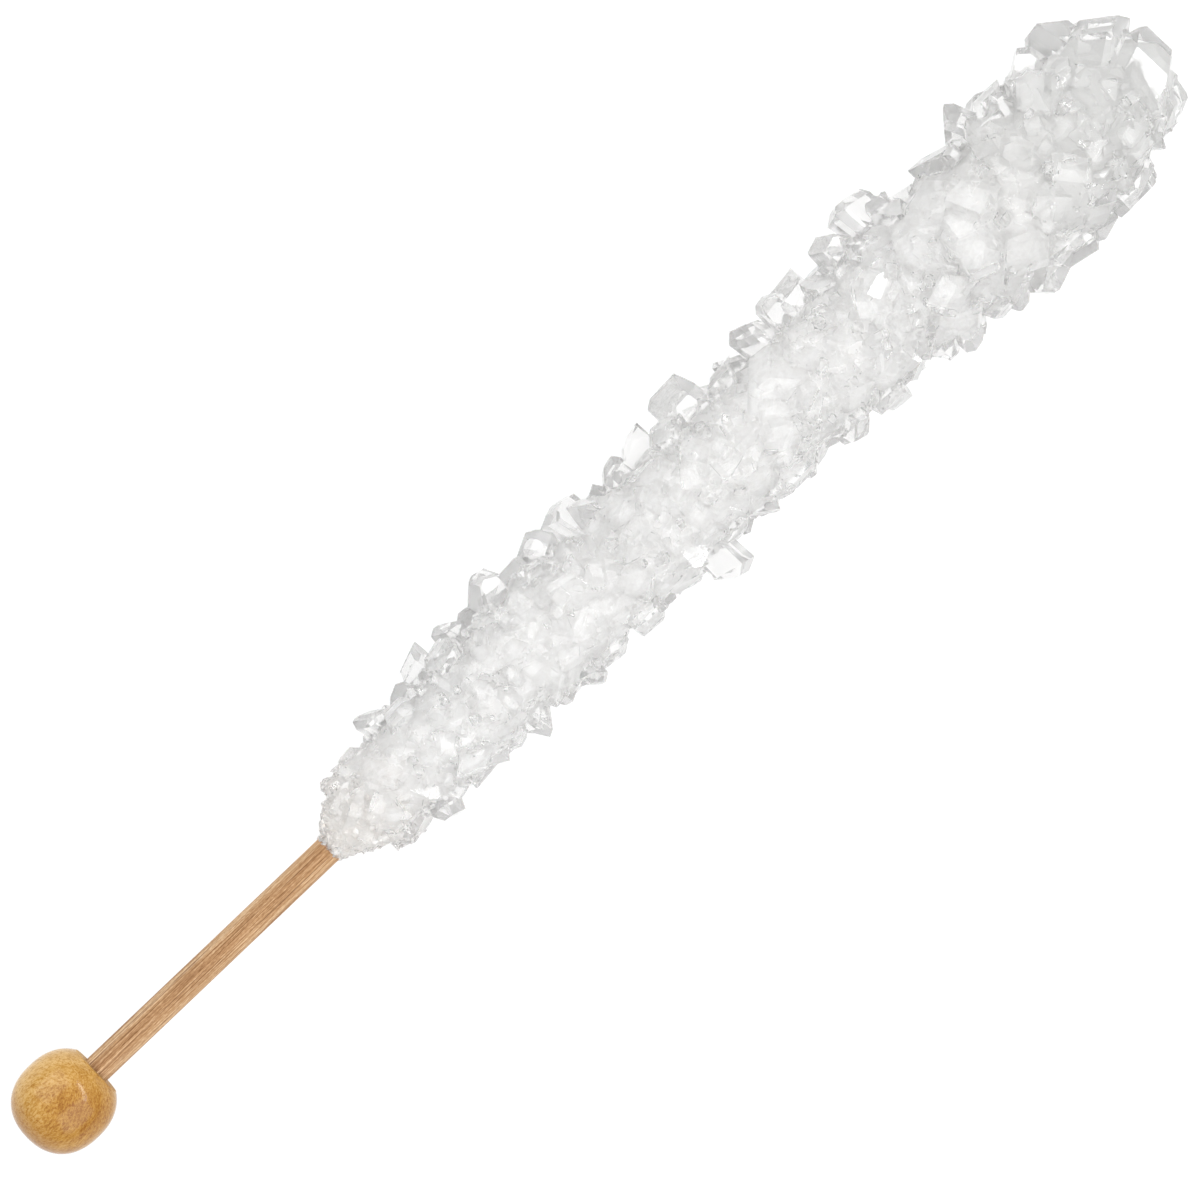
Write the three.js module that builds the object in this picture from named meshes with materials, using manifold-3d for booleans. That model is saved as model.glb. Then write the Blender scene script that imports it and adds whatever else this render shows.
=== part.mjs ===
// Rock candy stick: a round wooden stick with a turned wooden ball on one end, and a long mass of intergrown sugar
// crystals grown round the other. It can't stand, so it lies on its side on a flat surface: on a small flat of the
// ball and on the crystal tips underneath, which makes the stick rise a little towards the candy.
//
// Millimetres and degrees. +Z is up, +X runs from the ball to the candy's tip, and the origin is in the middle of the
// bounding box's base. The pieces are first made in the stick's own frame, where the stick's axis is the X axis and
// x = 0 is the middle of the ball; "along" is that x, and "around" turns from +Y (0) to straight up (90).
import * as THREE from "three";
import { mergeVertices } from "three/addons/utils/BufferGeometryUtils.js";
import Module from "manifold-3d";

// Wooden ball: a squarish ball of revolution, cut flat where the stick goes in.
const BALL_ACROSS = 11.2;
const BALL_ALONG = 11.6;
const BALL_SQUARENESS = 2.3;
const BALL_FACE_ALONG = 5.15;
const BALL_HOLE_DEPTH = 6.5;
const BALL_SIDES = 28;
const BALL_PROFILE_POINTS = 11;
const BALL_REST_DEPTH = 0.06;

// Wooden stick, from inside the ball to inside the candy's tip.
const STICK_DIAMETER = 3.3;
const STICK_END_ALONG = 160;
const STICK_CHAMFER = 0.3;
const STICK_SIDES = 24;
const FIT_GAP = 0.3;

// Candy outline: how far the crystals reach from the stick's axis on the +Y side and on the -Y side.
const CANDY_OUTLINE = [
  { along: 41.7, left: 1.8, right: 1.8 },
  { along: 43.2, left: 3.3, right: 2.5 },
  { along: 45.5, left: 4.9, right: 3.9 },
  { along: 48.5, left: 6.3, right: 5.8 },
  { along: 54.0, left: 7.2, right: 6.9 },
  { along: 62.0, left: 8.6, right: 6.6 },
  { along: 75.0, left: 9.2, right: 7.2 },
  { along: 90.0, left: 9.6, right: 7.0 },
  { along: 108.0, left: 9.6, right: 6.5 },
  { along: 124.0, left: 10.3, right: 7.6 },
  { along: 134.0, left: 11.0, right: 8.7 },
  { along: 146.0, left: 11.2, right: 10.4 },
  { along: 158.0, left: 11.8, right: 9.8 },
  { along: 164.5, left: 11.0, right: 8.2 },
  { along: 168.5, left: 7.2, right: 5.6 },
  { along: 172.3, left: 3.4, right: 2.6 },
];

// Solid core under the crystals: a share of the outline's reach, roughened.
const CORE_SHARE = 0.8;
const CORE_ROUGHNESS = 0.07;
const CORE_SIDES = 12;
const CORE_STEP = 5;
const CORE_LEAST_WALL = 0.75;

// A crystal is an oblique prism. Its section is a parallelogram with both sharp corners cut off, and its outer end
// slopes and is bevelled all round. The angles are those of sugar's prism faces.
const SECTION_ANGLES = [0, 52, 103, 180, 232, 283];
const CORNER_CUT = 0.84;
const ROOT_TAPER = 0.8;

// Crystals round the mass: each turns by the golden angle from the last, which spreads them evenly.
const GOLDEN_ANGLE = 137.508;
const CRYSTAL_SEED = 202;
const CRYSTAL_SPACING = 2.35;
const WIDTH_AT_START = 3.4;
const WIDTH_AT_TIP = 8.4;
const WIDTH_SPREAD = 0.3;
const REACH_SPREAD = 0.09;
const LEAN_MOST = 34;

// Crystals that stand out on the two edges and at the tip: where they point, how far they reach and how wide they are.
const STANDOUT_CRYSTALS = [
  { along: 54.2, around: 12, reach: 8.7, width: 3.0, lean: -14 },
  { along: 61.8, around: 8, reach: 10.0, width: 3.9, lean: -24 },
  { along: 65.6, around: 34, reach: 9.6, width: 4.1, lean: 10 },
  { along: 73.4, around: 6, reach: 11.2, width: 4.6, lean: -10 },
  { along: 80.2, around: 16, reach: 9.9, width: 3.8, lean: 12 },
  { along: 85.2, around: 10, reach: 10.6, width: 4.6, lean: -16 },
  { along: 89.4, around: 20, reach: 10.4, width: 4.2, lean: 18 },
  { along: 96.8, around: 4, reach: 10.9, width: 4.4, lean: -8 },
  { along: 103.8, around: 10, reach: 11.9, width: 5.2, lean: 6 },
  { along: 121.2, around: 8, reach: 11.6, width: 4.0, lean: -12 },
  { along: 132.4, around: 10, reach: 13.5, width: 4.6, lean: -6 },
  { along: 148.2, around: 8, reach: 13.5, width: 4.8, lean: -26 },
  { along: 158.6, around: 14, reach: 12.6, width: 4.6, lean: -20 },
  { along: 163.8, around: 4, reach: 13.2, width: 5.0, lean: -6 },
  { along: 54.4, around: 170, reach: 7.4, width: 3.2, lean: 4 },
  { along: 69.4, around: 174, reach: 8.0, width: 3.8, lean: 20 },
  { along: 84.6, around: 166, reach: 7.4, width: 4.2, lean: -12 },
  { along: 97.0, around: 172, reach: 9.9, width: 4.6, lean: 4 },
  { along: 116.6, around: 168, reach: 8.1, width: 5.0, lean: 14 },
  { along: 133.6, around: 164, reach: 9.6, width: 5.0, lean: 8 },
  { along: 143.6, around: 176, reach: 11.1, width: 4.0, lean: -6 },
  { along: 160.0, around: 172, reach: 10.4, width: 4.4, lean: 18 },
  { along: 167.0, around: 30, reach: 5.6, width: 7.0, lean: 66 },
  { along: 167.6, around: 196, reach: 4.2, width: 5.0, lean: 62 },
];

// Rest: the surface that the object lies on is this far below the candy's outline, measured under its heaviest part.
// It cuts a small flat on the few crystals that reach lower.
const REST_ALONG = 140;
const REST_BELOW_OUTLINE = 0.4;

const SUGAR_COLOUR = 0xeceae6;
const STICK_COLOUR = 0xcba37a;
const BALL_COLOUR = 0xd0a05a;

const wasm = await Module();
wasm.setup();

const radians = THREE.MathUtils.degToRad;

// Minimal standard random numbers, from 0 to 1, the same ones in each run.
function randomNumbers(seed) {
  let state = seed;
  return () => {
    state = (state * 48271) % 2147483647;
    return state / 2147483647;
  };
}

// The same numbers spread evenly from -most to most.
function spreadOf(random, most) {
  return (2 * random() - 1) * most;
}

// A closed surface through rings with equal numbers of corners, each ring counter-clockwise seen from the next one's
// side, with a flat fan over each end.
function loft(rings) {
  const corners = rings[0].length;
  const last = (rings.length - 1) * corners;
  const index = [];
  for (let start = 0; start < last; start += corners) {
    for (let corner = 0; corner < corners; corner += 1) {
      const here = start + corner;
      const beside = start + ((corner + 1) % corners);
      index.push(here, beside, beside + corners);
      index.push(here, beside + corners, here + corners);
    }
  }
  for (let corner = 1; corner + 1 < corners; corner += 1) {
    index.push(0, corner + 1, corner);
    index.push(last, last + corner, last + corner + 1);
  }
  return new THREE.BufferGeometry().setFromPoints(rings.flat()).setIndex(index);
}

// A three.js geometry as a solid that can be joined and cut.
function solidOf(geometry) {
  geometry.deleteAttribute("normal");
  geometry.deleteAttribute("uv");
  const merged = mergeVertices(geometry);
  const mesh = new wasm.Mesh({
    numProp: 3,
    vertProperties: merged.getAttribute("position").array,
    triVerts: new Uint32Array(merged.getIndex().array),
  });
  return new wasm.Manifold(mesh);
}

// A solid back as a three.js geometry.
function geometryOf(solid) {
  const { vertProperties, triVerts } = solid.getMesh();
  const geometry = new THREE.BufferGeometry();
  geometry.setAttribute("position", new THREE.BufferAttribute(vertProperties, 3));
  geometry.setIndex(new THREE.BufferAttribute(triVerts, 1));
  return geometry;
}

// The outer shell of a solid: the small spaces left shut in between crystals are filled.
function withoutHollows(solid) {
  return solid.decompose().reduce((outer, shell) => (shell.volume() > outer.volume() ? shell : outer));
}

// Reach of the outline at a place: straight lines between the stations along the stick, and a cosine round it from
// the left side's reach to the right side's.
function outlineReach(along, around) {
  const after = CANDY_OUTLINE.findIndex((station) => station.along >= along);
  const next = CANDY_OUTLINE[after < 1 ? 1 : after];
  const last = CANDY_OUTLINE[after < 1 ? 0 : after - 1];
  const share = (along - last.along) / (next.along - last.along);
  const left = THREE.MathUtils.lerp(last.left, next.left, share);
  const right = THREE.MathUtils.lerp(last.right, next.right, share);
  return (left + right) / 2 + ((left - right) / 2) * Math.cos(radians(around));
}

function pointAt(along, around, reach) {
  const angle = radians(around);
  return new THREE.Vector3(along, reach * Math.cos(angle), reach * Math.sin(angle));
}

// Corners of a crystal's section, each where two neighbouring face lines cross. halfA and halfC are the distances of
// the two pairs of main faces from the middle, and the third pair cuts the sharp corners.
function sectionCorners(halfA, halfC) {
  const angles = SECTION_ANGLES.map(radians);
  const sharpX = halfA;
  const sharpY = (halfC - halfA * Math.cos(angles[2])) / Math.sin(angles[2]);
  const halfCut = CORNER_CUT * (sharpX * Math.cos(angles[1]) + sharpY * Math.sin(angles[1]));
  const distances = [halfA, halfCut, halfC, halfA, halfCut, halfC];
  return angles.map((angle, face) => {
    const other = (face + 1) % angles.length;
    const turn = Math.sin(angles[other] - angle);
    return new THREE.Vector2(
      (distances[face] * Math.sin(angles[other]) - distances[other] * Math.sin(angle)) / turn,
      (distances[other] * Math.cos(angle) - distances[face] * Math.cos(angles[other])) / turn,
    );
  });
}

// A crystal along its own +Z axis, its outer end at z = 0 and its root at z = -depth.
function crystalGeometry({ halfA, halfC, depth, bevel, taperA, taperC, slopeX, slopeY }) {
  const levels = [
    { shareA: ROOT_TAPER, shareC: ROOT_TAPER, height: -depth, slope: 0 },
    { shareA: 1, shareC: 1, height: -bevel, slope: 1 },
    { shareA: taperA, shareC: taperC, height: 0, slope: 1 },
  ];
  const rings = levels.map(({ shareA, shareC, height, slope }) =>
    sectionCorners(halfA * shareA, halfC * shareC).map(
      ({ x, y }) => new THREE.Vector3(x, y, height + slope * (slopeX * x + slopeY * y)),
    ),
  );
  return loft(rings);
}

// Turns a crystal's own axis to point outwards at its place, leaning along the stick and spun about itself, and puts
// its outer end at its reach.
function placeCrystal(geometry, { along, around, reach, lean, sideLean, spin }) {
  const turned = new THREE.Matrix4().makeRotationZ(radians(spin));
  turned.premultiply(new THREE.Matrix4().makeRotationX(radians(sideLean)));
  turned.premultiply(new THREE.Matrix4().makeRotationY(radians(lean)));
  turned.premultiply(new THREE.Matrix4().makeRotationX(radians(around - 90)));
  const place = pointAt(along, around, reach);
  turned.setPosition(place.x, place.y, place.z);
  return geometry.applyMatrix4(turned);
}

// One crystal from its place, reach, width and lean, with the rest of its shape drawn from the random numbers.
function makeCrystal({ along, around, reach, width, lean }, random) {
  const halfA = width * (0.44 + 0.1 * random());
  const halfC = width * (0.34 + 0.12 * random());
  const shape = {
    halfA,
    halfC,
    depth: Math.min(reach * 0.8, width * 1.6),
    bevel: width * (0.16 + 0.2 * random()),
    taperA: 0.35 + 0.4 * random(),
    taperC: 0.55 + 0.3 * random(),
    slopeX: spreadOf(random, 0.35),
    slopeY: spreadOf(random, 0.35),
  };
  const place = { along, around, reach, lean, sideLean: spreadOf(random, 16), spin: 360 * random() };
  return solidOf(placeCrystal(crystalGeometry(shape), place));
}

// Crystals all round the mass. Each takes a share of the outline's surface that goes with the square of its width.
function spreadCrystals() {
  const random = randomNumbers(CRYSTAL_SEED);
  const start = CANDY_OUTLINE[1].along;
  const end = CANDY_OUTLINE.at(-2).along;
  const crystals = [];
  let along = start;
  for (let count = 0; along < end; count += 1) {
    const around = (count * GOLDEN_ANGLE) % 360;
    const share = (along - start) / (end - start);
    const usualWidth = THREE.MathUtils.lerp(WIDTH_AT_START, WIDTH_AT_TIP, share);
    const width = usualWidth * (1 + spreadOf(random, WIDTH_SPREAD));
    const outline = outlineReach(along, around);
    const reach = outline * (1 + spreadOf(random, REACH_SPREAD));
    const rise = (outlineReach(along + 1, around) - outlineReach(along - 1, around)) / 2;
    const lean = spreadOf(random, LEAN_MOST) - THREE.MathUtils.radToDeg(Math.atan(rise));
    crystals.push(makeCrystal({ along, around, reach, width, lean }, random));
    along += (CRYSTAL_SPACING * usualWidth * usualWidth) / (2 * Math.PI * outline);
  }
  const standouts = STANDOUT_CRYSTALS.map((crystal) => makeCrystal(crystal, random));
  return crystals.concat(standouts);
}

// The core: rings of roughened outline along the stick, closed at both ends.
function makeCore() {
  const random = randomNumbers(CRYSTAL_SEED + 1);
  const first = CANDY_OUTLINE[0].along;
  const end = CANDY_OUTLINE.at(-1).along - 1.5;
  const steps = Math.round((end - first) / CORE_STEP);
  const least = STICK_DIAMETER / 2 + FIT_GAP + CORE_LEAST_WALL;
  const rings = [];
  for (let step = 0; step <= steps; step += 1) {
    const along = first + ((end - first) * step) / steps;
    const ring = [];
    for (let side = 0; side < CORE_SIDES; side += 1) {
      const around = ((side + (step % 2) / 2) * 360) / CORE_SIDES;
      const rough = step === 0 ? 0 : spreadOf(random, CORE_ROUGHNESS);
      ring.push(pointAt(along, around, Math.max(least, CORE_SHARE * outlineReach(along, around) * (1 + rough))));
    }
    rings.push(ring);
  }
  return solidOf(loft(rings));
}

// A rod on the stick's axis with chamfered ends.
function rodGeometry(radius, from, to, chamfer) {
  const profile = [
    new THREE.Vector2(0, from),
    new THREE.Vector2(radius - chamfer, from),
    new THREE.Vector2(radius, from + chamfer),
    new THREE.Vector2(radius, to - chamfer),
    new THREE.Vector2(radius - chamfer, to),
    new THREE.Vector2(0, to),
  ];
  return new THREE.LatheGeometry(profile, STICK_SIDES).rotateZ(-Math.PI / 2);
}

// The ball is a superellipse turned about the stick's axis, from its outer end round to the flat face, and then down
// the hole that holds the stick.
function ballGeometry() {
  const halfAlong = BALL_ALONG / 2;
  const halfAcross = BALL_ACROSS / 2;
  const holeRadius = STICK_DIAMETER / 2 + FIT_GAP;
  const profile = [];
  for (let point = 0; point <= BALL_PROFILE_POINTS; point += 1) {
    const turn = Math.acos(-BALL_FACE_ALONG / halfAlong) * (point / BALL_PROFILE_POINTS);
    const along = -Math.cos(turn) * halfAlong;
    const share = 1 - Math.abs(along / halfAlong) ** BALL_SQUARENESS;
    profile.push(new THREE.Vector2(halfAcross * Math.max(share, 0) ** (1 / BALL_SQUARENESS), along));
  }
  profile.push(new THREE.Vector2(holeRadius, BALL_FACE_ALONG));
  profile.push(new THREE.Vector2(holeRadius, BALL_FACE_ALONG - BALL_HOLE_DEPTH));
  profile.push(new THREE.Vector2(0, BALL_FACE_ALONG - BALL_HOLE_DEPTH));
  return new THREE.LatheGeometry(profile, BALL_SIDES).rotateZ(-Math.PI / 2);
}

// How the stick lies: its ball's middle is this high, and it rises by this angle towards the candy.
const ballHeight = BALL_ACROSS / 2 - BALL_REST_DEPTH;
const restReach = outlineReach(REST_ALONG, -90) + REST_BELOW_OUTLINE;
const lieAngle = Math.asin((restReach - ballHeight) / REST_ALONG);

const stickFrame = new THREE.Group();
stickFrame.rotation.y = -lieAngle;
stickFrame.position.z = ballHeight;
stickFrame.updateMatrixWorld();

// Everything above the surface that the object lies on, in the stick's own frame.
function spaceAbove() {
  const size = 1000;
  const box = new THREE.BoxGeometry(size, size, size).translate(0, 0, size / 2);
  return solidOf(box.applyMatrix4(stickFrame.matrixWorld.clone().invert()));
}

function makeCandy() {
  const bore = rodGeometry(STICK_DIAMETER / 2 + FIT_GAP, 0, STICK_END_ALONG + FIT_GAP, 0);
  const grown = spreadCrystals().reduce((mass, crystal) => mass.add(crystal), makeCore());
  const filled = withoutHollows(grown);
  return geometryOf(filled.subtract(solidOf(bore)).intersect(spaceAbove()));
}

function makeStick() {
  const from = BALL_FACE_ALONG - BALL_HOLE_DEPTH + FIT_GAP;
  return rodGeometry(STICK_DIAMETER / 2, from, STICK_END_ALONG, STICK_CHAMFER);
}

function makeBall() {
  return geometryOf(solidOf(ballGeometry()).intersect(spaceAbove()));
}

function addPiece(name, geometry, material) {
  const mesh = new THREE.Mesh(geometry, new THREE.MeshStandardMaterial(material));
  mesh.name = name;
  stickFrame.add(mesh);
}

addPiece("candy", makeCandy(), { color: SUGAR_COLOUR, roughness: 0.15, metalness: 0 });
addPiece("stick", makeStick(), { color: STICK_COLOUR, roughness: 0.75, metalness: 0 });
addPiece("ball", makeBall(), { color: BALL_COLOUR, roughness: 0.35, metalness: 0 });

// Moves the whole so that the origin is in the middle of the base.
const rockCandyStick = new THREE.Group();
rockCandyStick.add(stickFrame);
const bounds = new THREE.Box3().setFromObject(rockCandyStick, true);
const middle = bounds.getCenter(new THREE.Vector3());
rockCandyStick.position.set(-middle.x, -middle.y, -bounds.min.z);

export default rockCandyStick;
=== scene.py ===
# %% [markdown]
# # A rock candy stick
#
# Rock candy is sugar that has grown out of syrup on a wooden stick: hundreds of clear, flat-faced
# crystals, packed so tightly round the wood that the middle of the mass turns milky. The stick ends in a
# turned wooden ball. It lies on a pale surface, and we look straight down on it.
#
# The construction model gives the frame: where the stick runs, how thick the candy is and what it lies on.
# We make the looks around it, in four steps: the wood, the shapes of the sugar, its two finishes, and the
# studio.

import bpy
import numpy as np
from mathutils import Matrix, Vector


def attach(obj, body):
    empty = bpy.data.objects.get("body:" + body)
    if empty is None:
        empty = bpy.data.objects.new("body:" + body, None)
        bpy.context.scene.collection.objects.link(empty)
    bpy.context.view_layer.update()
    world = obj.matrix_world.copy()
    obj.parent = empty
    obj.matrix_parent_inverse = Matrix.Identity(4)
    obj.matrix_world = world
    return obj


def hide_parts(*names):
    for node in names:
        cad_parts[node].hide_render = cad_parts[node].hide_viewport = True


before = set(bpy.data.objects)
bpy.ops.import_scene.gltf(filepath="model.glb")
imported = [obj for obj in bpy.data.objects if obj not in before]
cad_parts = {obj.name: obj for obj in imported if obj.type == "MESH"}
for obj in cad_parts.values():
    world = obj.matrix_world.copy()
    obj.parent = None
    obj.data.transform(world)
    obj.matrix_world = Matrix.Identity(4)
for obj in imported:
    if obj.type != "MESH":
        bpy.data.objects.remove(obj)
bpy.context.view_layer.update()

# %% [markdown]
# ## The stick's own frame
#
# The stick rises a little from the ball to the candy, so it is easier to think along the stick than along
# the table. We find its axis from its own vertices: of a long round rod, the direction in which the
# vertices spread most is the axis. From then on a place is three numbers in millimetres: along the stick
# from the ball's middle, across it, and up.

# %% Find the stick's axis
MM = 0.001
BALL_FACE_ALONG = 5.15


def vertices_of(node):
    """All vertices of a node of the frame, as an array of points in metres."""
    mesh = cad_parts[node].data
    points = np.empty(3 * len(mesh.vertices))
    mesh.vertices.foreach_get("co", points)
    return points.reshape(-1, 3)


stick_points = np.unique(vertices_of("stick").round(6), axis=0)
stick_middle = stick_points.mean(axis=0)
axis_along = np.linalg.svd(stick_points - stick_middle)[2][0]
axis_along *= np.sign(axis_along[0])
axis_across = np.cross((0, 0, 1), axis_along)
axis_across /= np.linalg.norm(axis_across)
AXES = np.array([axis_along, axis_across, np.cross(axis_along, axis_across)])

ball_face = ((vertices_of("ball") - stick_middle) @ axis_along).max()
ORIGIN = stick_middle + (ball_face - BALL_FACE_ALONG * MM) * axis_along
print("the stick rises by", round(float(np.degrees(np.arcsin(axis_along[2]))), 2), "degrees")


def lay(points):
    """Millimetres along, across and up from the ball's middle, turned into metres in the frame."""
    return ORIGIN + MM * np.asarray(points) @ AXES


def unlay(points):
    """Metres in the frame, turned into millimetres along, across and up from the ball's middle."""
    return (points - ORIGIN) @ AXES.T / MM


# %% [markdown]
# ## Putting a surface into Blender
#
# Every shape below ends as arrays: points, and faces that list them. One helper puts such arrays into a
# mesh, and tells the frame which body the piece moves with.

# %% Make a piece from arrays
def make_piece(name, points, faces, material, slot, stands_for, smooth, values=None):
    """A mesh object from an array of points in metres and an array of faces with equal numbers of
    corners. values are numbers for its material, one for each point, under the names that the material
    reads them by."""
    mesh = bpy.data.meshes.new(name)
    corners = faces.shape[1]
    mesh.vertices.add(len(points))
    mesh.vertices.foreach_set("co", points.astype(np.float32).ravel())
    mesh.loops.add(faces.size)
    mesh.loops.foreach_set("vertex_index", faces.astype(np.int32).ravel())
    mesh.polygons.add(len(faces))
    mesh.polygons.foreach_set("loop_start", np.arange(0, faces.size, corners, dtype=np.int32))
    mesh.polygons.foreach_set("use_smooth", np.full(len(faces), smooth))
    mesh.update(calc_edges=True)
    mesh.validate()
    mesh.materials.append(material)
    for label, numbers in (values or {}).items():
        mesh.attributes.new(label, "FLOAT", "POINT").data.foreach_set("value", numbers.astype(np.float32))
    piece = bpy.data.objects.new(name, mesh)
    bpy.context.scene.collection.objects.link(piece)
    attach(piece, "root")
    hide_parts(stands_for)
    print(f"{name}: {len(points)} points, {len(faces)} faces")
    return piece


# %% [markdown]
# ## A little language for nodes
#
# A finish in Blender is a graph of nodes, and a list of links is hard to read. So one small class wraps a
# socket: adding, subtracting or multiplying two of them adds the Math node that does it, and a finish can
# say streaks * 0.3 + fibres * 0.4.

# %% Sockets that can be calculated with
class Signal:
    """An output socket of a node, and the bench on which its tree is built."""

    def __init__(self, bench, socket):
        self.bench = bench
        self.socket = socket

    def math(self, operation, first, second):
        return self.bench.node("ShaderNodeMath", {"operation": operation}, {0: first, 1: second})

    def __add__(self, other):
        return self.math("ADD", self, other)

    def __sub__(self, other):
        return self.math("SUBTRACT", self, other)

    def __rsub__(self, other):
        return self.math("SUBTRACT", other, self)

    def __mul__(self, other):
        return self.math("MULTIPLY", self, other)

    def between(self, low, high):
        """0 below low, 1 above high, and a straight ramp in between."""
        inputs = {"Value": self, "From Min": low, "From Max": high}
        return self.bench.node("ShaderNodeMapRange", {"clamp": True}, inputs)

    __radd__ = __add__
    __rmul__ = __mul__


# %% [markdown]
# A second class holds a tree and adds any other node to it, from its type, its settings and what goes into
# its sockets. Each kind of node could have a method of its own, but one for all of them is shorter. We use
# it for materials, for the light round the scene and for the modifier that fuses the crystals.

# %% A tree that nodes are added to
def set_stops(color_ramp, stops):
    """Gives a colour ramp these (position, colour) stops, which are at least two."""
    while len(color_ramp.elements) < len(stops):
        color_ramp.elements.new(1.0)
    for element, (position, color) in zip(color_ramp.elements, stops):
        element.position = position
        element.color = color


class Bench:
    """A node tree, emptied, and the means to add nodes to it."""

    def __init__(self, tree):
        self.tree = tree
        tree.nodes.clear()

    def node(self, kind, settings=None, inputs=None, output=0):
        """One node: its settings first, then a value or a link for each socket that inputs names or
        numbers."""
        made = self.tree.nodes.new(kind)
        for name, value in (settings or {}).items():
            if name == "stops":
                set_stops(made.color_ramp, value)
            else:
                setattr(made, name, value)
        for key, value in (inputs or {}).items():
            if isinstance(value, Signal):
                self.tree.links.new(value.socket, made.inputs[key])
            else:
                made.inputs[key].default_value = value
        return Signal(self, made.outputs[output]) if len(made.outputs) else None

    def ramp(self, share, stops):
        """A colour from a list of (position, colour) stops."""
        return self.node("ShaderNodeValToRGB", {"stops": stops}, {"Fac": share})


# %% [markdown]
# Every finish needs the same few steps: where the shaded point is, noise stretched into a grain, a mix of
# two colours, a bump, and the surface at the end. They become the methods of a third class, so that each
# finish below reads like a recipe. All patterns are measured on the object itself, so a grain runs through
# the wood and is right from every side.

# %% A finish and its patterns
FIRST_COLOUR, SECOND_COLOUR = 6, 7


class Finish(Bench):
    """A new material, and the patterns that it is built from."""

    def __init__(self, name):
        self.material = bpy.data.materials.new(name)
        self.material.use_nodes = True
        super().__init__(self.material.node_tree)

    def place(self, scale=(1, 1, 1), turn=(0, 0, 0)):
        """The point of the object that is being shaded, in metres, first turned and then stretched."""
        point = self.node("ShaderNodeTexCoord", output="Object")
        turned_point = self.node("ShaderNodeMapping", None, {"Vector": point, "Rotation": turn})
        return self.node("ShaderNodeVectorMath", {"operation": "MULTIPLY"}, {0: turned_point, 1: scale})

    def place_on(self, axis, turn=(0, 0, 0)):
        """How far along one axis the point is, in metres, after a turn."""
        return self.node("ShaderNodeSeparateXYZ", None, {"Vector": self.place(turn=turn)}, axis)

    def noise(self, blobs, turn=(0, 0, 0), detail=2.0, roughness=0.5, distortion=0.0):
        """Cloudy noise from 0 to 1. blobs is how many fit in a metre along each axis, so few blobs along
        an axis and many across it make a grain."""
        inputs = {"Vector": self.place(blobs, turn), "Scale": 1.0, "Detail": detail, "Roughness": roughness}
        return self.node("ShaderNodeTexNoise", None, inputs | {"Distortion": distortion})

    def mix(self, share, first, second):
        """A colour between two colours."""
        inputs = {"Factor": share, FIRST_COLOUR: first, SECOND_COLOUR: second}
        return self.node("ShaderNodeMix", {"data_type": "RGBA"}, inputs, output=2)

    def bump(self, height, depth, strength):
        """A normal tilted as if the surface rose by depth metres where the height is 1."""
        return self.node("ShaderNodeBump", None, {"Height": height, "Distance": depth, "Strength": strength})

    def close(self, inputs):
        """Ends the material with a Principled surface and returns it."""
        surface = self.node("ShaderNodeBsdfPrincipled", None, inputs)
        self.node("ShaderNodeOutputMaterial", None, {"Surface": surface})
        return self.material


def paint(red, green, blue):
    """A screen colour from 0 to 255 as the linear colour that a node takes."""
    screen = np.array([red, green, blue]) / 255
    linear = np.where(screen <= 0.04045, screen / 12.92, ((screen + 0.055) / 1.055) ** 2.4)
    return (*linear.tolist(), 1.0)


print("a mid grey on the screen is", round(paint(128, 128, 128)[0], 3), "in linear light")

# %% [markdown]
# ## The wooden stick
#
# The stick is a birch dowel, sanded but not varnished. What tells wood from plastic is its grain, and it
# has four sizes here: the year rings as broad bands, streaks a centimetre or two long, fibres as fine as a
# hair, and short specks. Each is noise with few blobs along the stick and many across it. A few long pores
# are darker still. Painted light makes the side towards +Y a little paler, as if the lamps fell more on it.
# A picture of wood would do too, but it would have to be wrapped round the dowel, and noise in space has
# no seam.

# %% Finish of the stick
STICK_RADIUS = 1.65
STICK_TILT = (0, float(np.arcsin(axis_along[2])), 0)
WOOD_TONES = [(0.42, paint(116, 76, 43)), (0.52, paint(169, 131, 92)), (0.62, paint(217, 187, 151))]


def stick_finish():
    """A weighted sum of the grain's four sizes and the painted light on the +Y side picks a colour."""
    wood = Finish("stick_birch")
    rings = wood.noise((9, 620, 620), STICK_TILT, detail=1.0)
    streaks = wood.noise((35, 5200, 5200), STICK_TILT, roughness=0.6)
    fibres = wood.noise((170, 12000, 12000), STICK_TILT, roughness=0.6)
    specks = wood.noise((1900, 9500, 9500), STICK_TILT, roughness=0.6)
    pores = wood.noise((80, 6500, 6500), STICK_TILT, detail=1.0)
    # Painted light: the side towards +Y is made a little paler, as if the lamps fell more on it.
    painted_light_side = wood.place_on("Y").between(-0.5 * STICK_RADIUS * MM, STICK_RADIUS * MM)
    tone = rings * 0.3 + streaks * 0.22 + fibres * 0.28 + specks * 0.2 + painted_light_side * 0.06
    colour = wood.mix(pores.between(0.57, 0.67) * 0.75, wood.ramp(tone, WOOD_TONES), paint(100, 62, 34))
    normal = wood.bump(streaks * 0.5 + fibres * 0.5, 0.05 * MM, 0.6)
    return wood.close({"Base Color": colour, "Roughness": 0.75, "Normal": normal, "Specular IOR Level": 0.3})


# %% [markdown]
# The dowel itself is a circle carried along the axis. The rings near the ends are narrower, which gives
# the ends their small chamfer, and the ends are closed to a point.

# %% The stick
STICK_FROM = -1.0
STICK_TO = 160.0
CHAMFER = 0.2
STICK_ROWS = 60
STICK_SIDES = 48


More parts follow.
